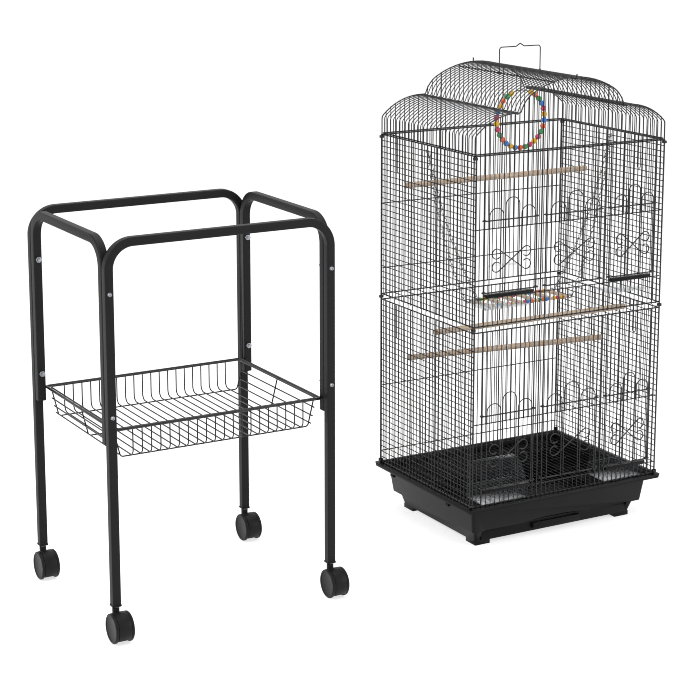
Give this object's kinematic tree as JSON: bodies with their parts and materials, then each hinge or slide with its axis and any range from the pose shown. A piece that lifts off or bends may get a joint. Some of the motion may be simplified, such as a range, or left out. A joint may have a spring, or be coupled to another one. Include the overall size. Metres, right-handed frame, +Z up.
{
  "type": "bird cage with rolling stand",
  "caption": "Black wire bird cage with a domed roof, sliding doors, feeder cups, toys and a pull-out tray, beside its square-tube stand with a wire basket and twin-wheel casters.",
  "frame": {"origin": "on the floor, under the middle of the box round stand and cage", "axes": "+Z up, +X from the stand to the cage, +Y to the back; the doors and the drawer face -Y"},
  "size_m": [1.259, 0.4438, 0.9895],
  "materials": {
    "black_paint": "black powder coat with a fine texture",
    "black_wire": "black epoxy coat on steel wire",
    "zinc": "bright zinc plate",
    "bright_wire": "nickel-plated wire",
    "black_nylon": "moulded black nylon",
    "gloss_tub": "moulded black polypropylene with a soft gloss",
    "clear_plastic": "clear moulded polystyrene",
    "wood": "plain sanded softwood",
    "beads": "lacquered wooden beads in yellow, green, orange, blue and crimson"
  },
  "bodies": {
    "stand": {"front_frame": "black_paint", "back_frame": "black_paint", "left_side_frame": "black_paint", "right_side_frame": "black_paint", "frame_bolts": "zinc", "frame_nuts": "zinc", "basket_rim": "black_paint", "basket_wires": "black_paint", "leg_plugs": "black_nylon"},
    "cage": {"base_tub": "gloss_tub", "base_clips": "gloss_tub", "grate": "black_wire", "front_lower": "black_wire", "front_upper": "black_wire", "back_lower": "black_wire", "back_upper": "black_wire", "left_lower": "black_wire", "left_upper": "black_wire", "right_lower": "black_wire", "right_upper": "black_wire", "roof_bars": "black_wire", "roof_rails": "black_wire", "roof_gables": "black_wire", "corner_clips": "black_wire", "side_hooks": "black_wire", "perches": "wood"},
    "swivel_front_left": {"caster_front_left": "black_nylon", "stem_front_left": "zinc"},
    "wheel_front_left": {"wheels_front_left": "black_nylon"},
    "swivel_front_right": {"caster_front_right": "black_nylon", "stem_front_right": "zinc"},
    "wheel_front_right": {"wheels_front_right": "black_nylon"},
    "swivel_back_left": {"caster_back_left": "black_nylon", "stem_back_left": "zinc"},
    "wheel_back_left": {"wheels_back_left": "black_nylon"},
    "swivel_back_right": {"caster_back_right": "black_nylon", "stem_back_right": "zinc"},
    "wheel_back_right": {"wheels_back_right": "black_nylon"},
    "drawer": {"drawer": "gloss_tub"},
    "door_left_lower": {"door_left_lower": "black_wire"},
    "door_middle_lower": {"door_middle_lower": "black_wire"},
    "door_right_lower": {"door_right_lower": "black_wire"},
    "door_left_upper": {"door_left_upper": "black_wire"},
    "door_middle_upper": {"door_middle_upper": "black_wire"},
    "door_right_upper": {"door_right_upper": "black_wire"},
    "cup_left_lower": {"cup_left_lower": "clear_plastic", "ledge_left_lower": "gloss_tub"},
    "cup_right_lower": {"cup_right_lower": "clear_plastic", "ledge_right_lower": "gloss_tub"},
    "cup_left_upper": {"cup_left_upper": "clear_plastic", "ledge_left_upper": "gloss_tub"},
    "cup_right_upper": {"cup_right_upper": "clear_plastic", "ledge_right_upper": "gloss_tub"},
    "handle": {"handle": "black_wire"},
    "ring_swing": {"ring_wire": "bright_wire", "ring_beads": "beads"},
    "bridge": {"bridge_slats": "wood", "bridge_beads": "beads", "bridge_wires": "bright_wire", "bridge_chains": "bright_wire"}
  },
  "joints": [
    {"name": "cage_lift", "type": "slide", "parent": "stand", "child": "cage", "axis": [0, 0, 1], "range_m": [0, 0.75]},
    {"name": "swivel_front_left", "type": "hinge", "parent": "stand", "child": "swivel_front_left", "pos_m": [-0.612, -0.1766, 0.027], "axis": [0, 0, 1], "continuous": true},
    {"name": "wheel_front_left", "type": "hinge", "parent": "swivel_front_left", "child": "wheel_front_left", "pos_m": [-0.612, -0.1946, 0.027], "axis": [1, 0, 0], "continuous": true},
    {"name": "swivel_front_right", "type": "hinge", "parent": "stand", "child": "swivel_front_right", "pos_m": [-0.178, -0.1766, 0.027], "axis": [0, 0, 1], "continuous": true},
    {"name": "wheel_front_right", "type": "hinge", "parent": "swivel_front_right", "child": "wheel_front_right", "pos_m": [-0.178, -0.1946, 0.027], "axis": [1, 0, 0], "continuous": true},
    {"name": "swivel_back_left", "type": "hinge", "parent": "stand", "child": "swivel_back_left", "pos_m": [-0.612, 0.1804, 0.027], "axis": [0, 0, 1], "continuous": true},
    {"name": "wheel_back_left", "type": "hinge", "parent": "swivel_back_left", "child": "wheel_back_left", "pos_m": [-0.612, 0.1624, 0.027], "axis": [1, 0, 0], "continuous": true},
    {"name": "swivel_back_right", "type": "hinge", "parent": "stand", "child": "swivel_back_right", "pos_m": [-0.178, 0.1804, 0.027], "axis": [0, 0, 1], "continuous": true},
    {"name": "wheel_back_right", "type": "hinge", "parent": "swivel_back_right", "child": "wheel_back_right", "pos_m": [-0.178, 0.1624, 0.027], "axis": [1, 0, 0], "continuous": true},
    {"name": "drawer_slide", "type": "slide", "parent": "cage", "child": "drawer", "axis": [0, -1, 0], "range_m": [0, 0.26]},
    {"name": "door_left_lower_slide", "type": "slide", "parent": "cage", "child": "door_left_lower", "axis": [0, 0, 1], "range_m": [0, 0.108]},
    {"name": "door_middle_lower_slide", "type": "slide", "parent": "cage", "child": "door_middle_lower", "axis": [0, 0, 1], "range_m": [0, 0.108]},
    {"name": "door_right_lower_slide", "type": "slide", "parent": "cage", "child": "door_right_lower", "axis": [0, 0, 1], "range_m": [0, 0.108]},
    {"name": "door_left_upper_slide", "type": "slide", "parent": "cage", "child": "door_left_upper", "axis": [0, 0, 1], "range_m": [0, 0.084]},
    {"name": "door_middle_upper_slide", "type": "slide", "parent": "cage", "child": "door_middle_upper", "axis": [0, 0, 1], "range_m": [0, 0.084]},
    {"name": "door_right_upper_slide", "type": "slide", "parent": "cage", "child": "door_right_upper", "axis": [0, 0, 1], "range_m": [0, 0.084]},
    {"name": "cup_left_lower_lift", "type": "slide", "parent": "cage", "child": "cup_left_lower", "axis": [0, 0, 1], "range_m": [0, 0.038]},
    {"name": "cup_right_lower_lift", "type": "slide", "parent": "cage", "child": "cup_right_lower", "axis": [0, 0, 1], "range_m": [0, 0.038]},
    {"name": "cup_left_upper_lift", "type": "slide", "parent": "cage", "child": "cup_left_upper", "axis": [0, 0, 1], "range_m": [0, 0.038]},
    {"name": "cup_right_upper_lift", "type": "slide", "parent": "cage", "child": "cup_right_upper", "axis": [0, 0, 1], "range_m": [0, 0.038]},
    {"name": "handle_fold", "type": "hinge", "parent": "cage", "child": "handle", "pos_m": [0.391, 0.04857, 0.9313], "axis": [1, 0, 0], "range_deg": [-72, 72]},
    {"name": "ring_swing", "type": "hinge", "parent": "cage", "child": "ring_swing", "pos_m": [0.391, 0.04273, 0.93476], "axis": [0, 1, 0], "range_deg": [-25, 25]},
    {"name": "bridge_swing", "type": "hinge", "parent": "cage", "child": "bridge", "pos_m": [0.391, 0.0369, 0.78661], "axis": [1, 0, 0], "range_deg": [-12, 12]}
  ]
}
